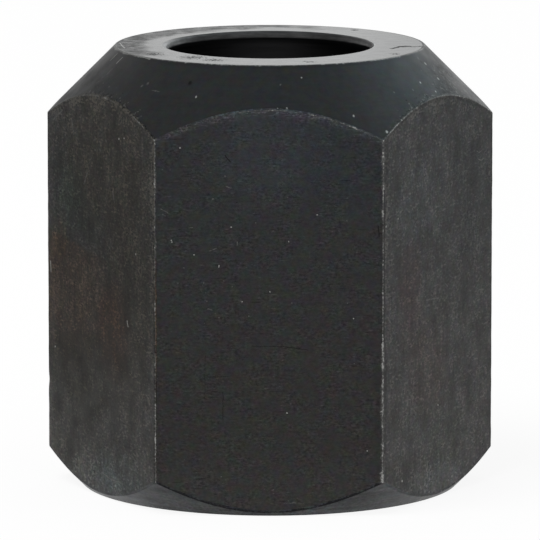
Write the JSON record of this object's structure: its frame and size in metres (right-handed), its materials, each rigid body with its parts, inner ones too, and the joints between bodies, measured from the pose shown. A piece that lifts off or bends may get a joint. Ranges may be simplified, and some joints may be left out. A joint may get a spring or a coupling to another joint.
{
  "type": "collet nut",
  "caption": "Tall hexagonal clamping nut for a spindle collet, with a coned nose, a plain nose bore and a threaded socket below.",
  "frame": {"origin": "middle of the flat base ring, on the axis", "axes": "+Z along the axis from the threaded end to the nose, one wrench flat facing -Y, corners on X"},
  "size_m": [0.0218, 0.019, 0.0217],
  "materials": {
    "blackened_steel": "black oxide all over, faintly brown, with fine draw and turning marks, and worn bright along the edges"
  },
  "bodies": {
    "root": {"collet_nut": "blackened_steel"}
  },
  "joints": []
}
